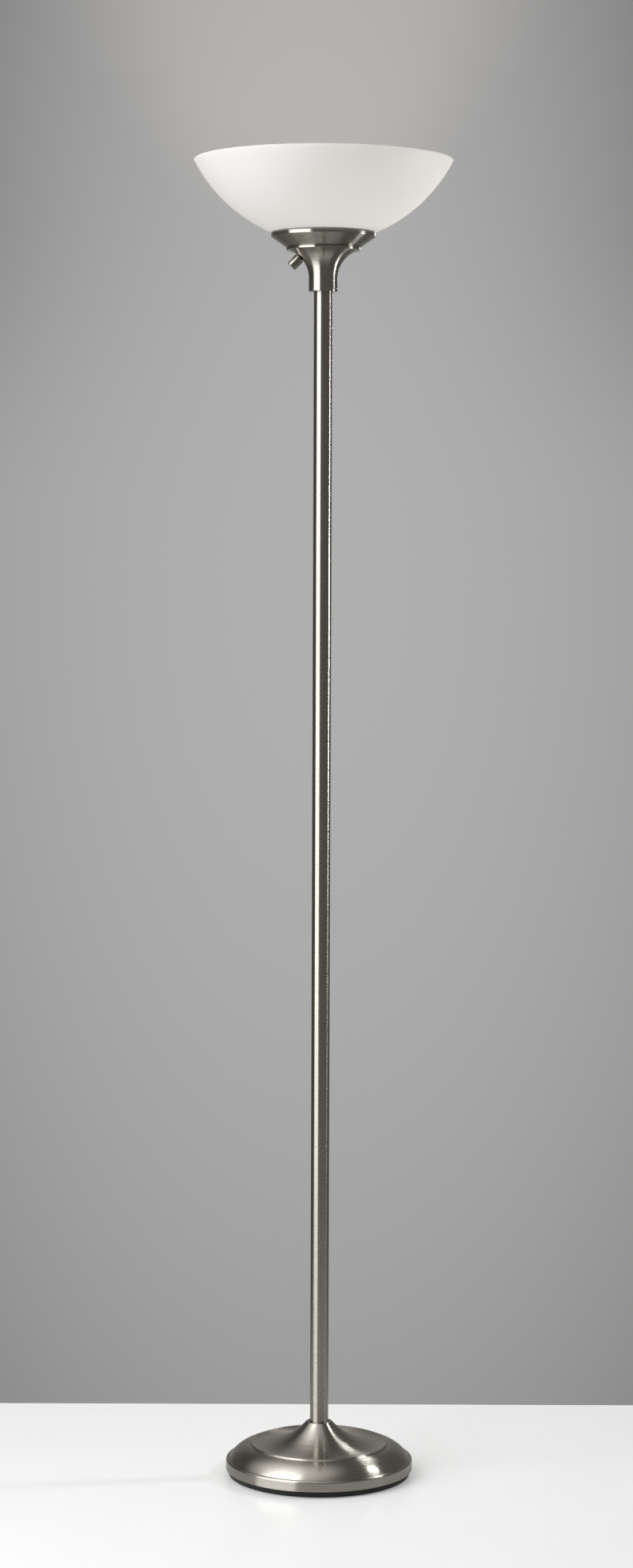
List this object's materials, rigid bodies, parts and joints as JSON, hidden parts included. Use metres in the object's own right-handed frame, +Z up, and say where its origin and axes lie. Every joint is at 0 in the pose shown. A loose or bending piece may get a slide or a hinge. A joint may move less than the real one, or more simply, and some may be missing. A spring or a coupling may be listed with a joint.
{
  "type": "torchiere floor lamp",
  "caption": "Torchiere floor lamp: round weighted base, slim screwed pole, trumpet neck with a slanted rotary switch, and an open white glass bowl that throws light upwards.",
  "frame": {"origin": "floor point under the pole's axis, centre of the base's underside", "axes": "+Z up the pole; -Y towards the viewer of the picture; -X the side of the switch knob"},
  "size_m": [0.3539, 0.354, 1.8202],
  "materials": {
    "brushed_nickel": "satin nickel plate, brushed around the axis",
    "zinc_steel": "zinc-plated steel",
    "brass": "plain brass",
    "black_plastic": "fine-textured black moulding",
    "black_phenolic": "black phenolic moulding",
    "black_felt": "pressed felt",
    "cast_iron": "rough cast iron",
    "white_porcelain": "glazed white socket body",
    "frosted_glass": "white glass, satin outside",
    "bulb_glass": "soft white coated glass",
    "clear_glass": "clear glass",
    "bare_aluminium": "bare pressed aluminium",
    "filament_wire": "drawn wire",
    "clear_silicone": "translucent soft ring",
    "lead_jacket": "black flexible jacket",
    "wire_black": "black wire insulation",
    "wire_white": "white wire insulation"
  },
  "bodies": {
    "stand": {"base_shell": "brushed_nickel", "base_pan": "black_plastic", "felt_pad": "black_felt", "base_weight": "cast_iron", "pan_screws": "zinc_steel", "cord_bushing": "black_plastic", "base_stud": "zinc_steel", "stud_washer": "zinc_steel", "stud_nut": "zinc_steel", "pole_spacer": "zinc_steel", "trumpet_neck": "brushed_nickel", "shade_cup": "brushed_nickel", "neck_nipple": "zinc_steel", "neck_washer": "zinc_steel", "neck_nut": "zinc_steel", "socket_bracket": "zinc_steel", "socket_screws": "zinc_steel", "socket_body": "white_porcelain", "socket_screw_shell": "brass", "socket_contact": "brass", "shade_gasket": "clear_silicone", "switch_body": "black_phenolic", "switch_cap": "black_phenolic", "switch_bushing": "brass", "switch_nut": "brass", "switch_leaves": "brass", "pole_lead": "lead_jacket", "line_wire": "wire_black", "neutral_wire": "wire_white", "switched_wire": "wire_black", "pole_tube_1": "brushed_nickel", "pole_plug_1_lower": "zinc_steel", "pole_plug_1_upper": "zinc_steel", "pole_tube_2": "brushed_nickel", "pole_plug_2_lower": "zinc_steel", "pole_plug_2_upper": "zinc_steel", "pole_tube_3": "brushed_nickel", "pole_plug_3_lower": "zinc_steel", "pole_plug_3_upper": "zinc_steel", "pole_tube_4": "brushed_nickel", "pole_plug_4_lower": "zinc_steel", "pole_plug_4_upper": "zinc_steel", "pole_nipple_1": "zinc_steel", "pole_nipple_2": "zinc_steel", "pole_nipple_3": "zinc_steel"},
    "knob": {"switch_knob": "brushed_nickel", "knob_set_screw": "zinc_steel", "switch_shaft": "brass", "switch_rotor": "black_phenolic"},
    "shade": {"shade_bowl": "frosted_glass"},
    "bulb": {"bulb_envelope": "bulb_glass", "bulb_cap": "bare_aluminium", "bulb_insulator": "black_phenolic", "bulb_contact": "brass", "bulb_stem": "clear_glass", "bulb_filament": "filament_wire"}
  },
  "joints": [
    {"name": "knob_turn", "type": "hinge", "parent": "stand", "child": "knob", "pos_m": [-0.03171, 0, 1.68765], "axis": [-0.6947, 0, -0.7193], "continuous": true},
    {"name": "shade_lift", "type": "slide", "parent": "stand", "child": "shade", "axis": [0, 0, 1], "range_m": [0, 0.12]},
    {"name": "bulb_lift", "type": "slide", "parent": "stand", "child": "bulb", "axis": [0, 0, 1], "range_m": [0, 0.11]}
  ]
}
